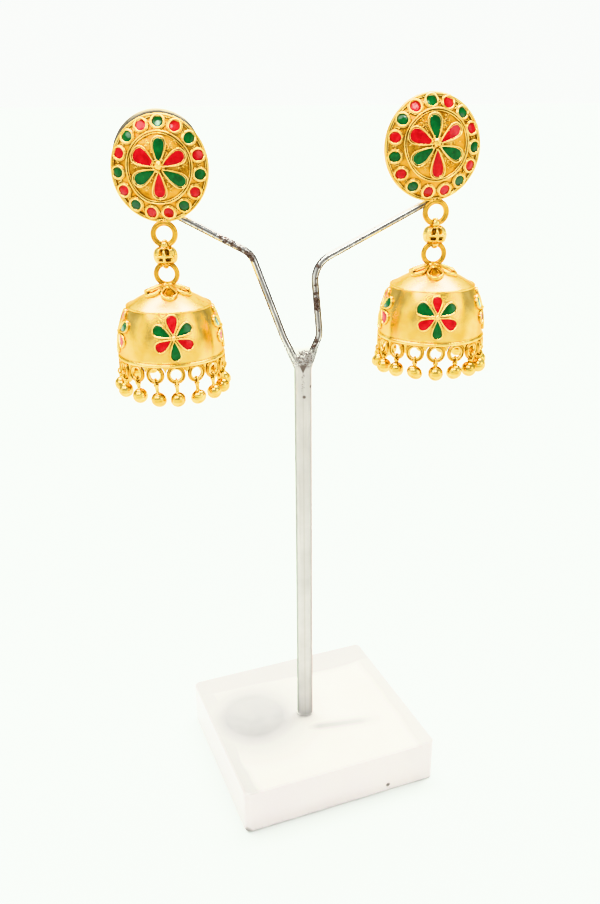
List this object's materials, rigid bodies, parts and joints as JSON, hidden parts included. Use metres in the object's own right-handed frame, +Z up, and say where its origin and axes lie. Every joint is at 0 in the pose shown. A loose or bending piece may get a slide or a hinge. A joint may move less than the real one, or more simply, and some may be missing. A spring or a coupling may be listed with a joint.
{
  "type": "jhumka earring pair on display stand",
  "caption": "Enamelled jhumka earrings, each a domed stud with a swinging hollow bell edged with ball drops, hung on a wire stand in a clear block.",
  "frame": {"origin": "centre of the acrylic block's bottom face", "axes": "+Z up, the arms run along X and both studs face -Y"},
  "size_m": [0.0875, 0.064, 0.1731],
  "materials": {
    "gold": "bright yellow gold plate over brass, satin on the bells and polished on rings, wires and balls",
    "red_enamel": "glossy opaque enamel",
    "green_enamel": "glossy translucent enamel",
    "stand_wire": "bright wire with dark draw lines and rust patches at the bends",
    "milky_sleeve": "milky tubing over the paired wires",
    "clear_acrylic": "clear polished acrylic, faintly milky"
  },
  "bodies": {
    "root": {"base_block": "clear_acrylic", "left_post_nut": "gold", "left_stud": "gold", "left_stud_green_enamel": "green_enamel", "left_stud_red_enamel": "red_enamel", "left_wire": "stand_wire", "post_sleeve": "milky_sleeve", "right_post_nut": "gold", "right_stud": "gold", "right_stud_green_enamel": "green_enamel", "right_stud_red_enamel": "red_enamel", "right_wire": "stand_wire"},
    "left_link": {"left_link": "gold"},
    "left_bell": {"left_bell": "gold", "left_bell_green_enamel": "green_enamel", "left_bell_red_enamel": "red_enamel", "left_drop_01": "gold", "left_drop_02": "gold", "left_drop_03": "gold", "left_drop_04": "gold", "left_drop_05": "gold", "left_drop_06": "gold", "left_drop_07": "gold", "left_drop_08": "gold", "left_drop_09": "gold", "left_drop_10": "gold", "left_drop_11": "gold", "left_drop_12": "gold", "left_drop_13": "gold", "left_drop_14": "gold", "left_drop_15": "gold", "left_drop_16": "gold"},
    "right_link": {"right_link": "gold"},
    "right_bell": {"right_bell": "gold", "right_bell_green_enamel": "green_enamel", "right_bell_red_enamel": "red_enamel", "right_drop_01": "gold", "right_drop_02": "gold", "right_drop_03": "gold", "right_drop_04": "gold", "right_drop_05": "gold", "right_drop_06": "gold", "right_drop_07": "gold", "right_drop_08": "gold", "right_drop_09": "gold", "right_drop_10": "gold", "right_drop_11": "gold", "right_drop_12": "gold", "right_drop_13": "gold", "right_drop_14": "gold", "right_drop_15": "gold", "right_drop_16": "gold"}
  },
  "joints": [
    {"name": "left_link_swing", "type": "hinge", "parent": "root", "child": "left_link", "pos_m": [-0.0316, -0.0026, 0.14189], "axis": [1, 0, 0], "range_deg": [-60, 60]},
    {"name": "left_bell_sway", "type": "hinge", "parent": "left_link", "child": "left_bell", "pos_m": [-0.0316, -0.0026, 0.1355], "axis": [0, 1, 0], "range_deg": [-22, 45]},
    {"name": "right_link_swing", "type": "hinge", "parent": "root", "child": "right_link", "pos_m": [0.02901, 0.00107, 0.1457], "axis": [0.9925, 0.1219, 0], "range_deg": [-60, 60]},
    {"name": "right_bell_sway", "type": "hinge", "parent": "right_link", "child": "right_bell", "pos_m": [0.02901, 0.00107, 0.13895], "axis": [0.1219, -0.9925, 0], "range_deg": [-22, 45]}
  ]
}
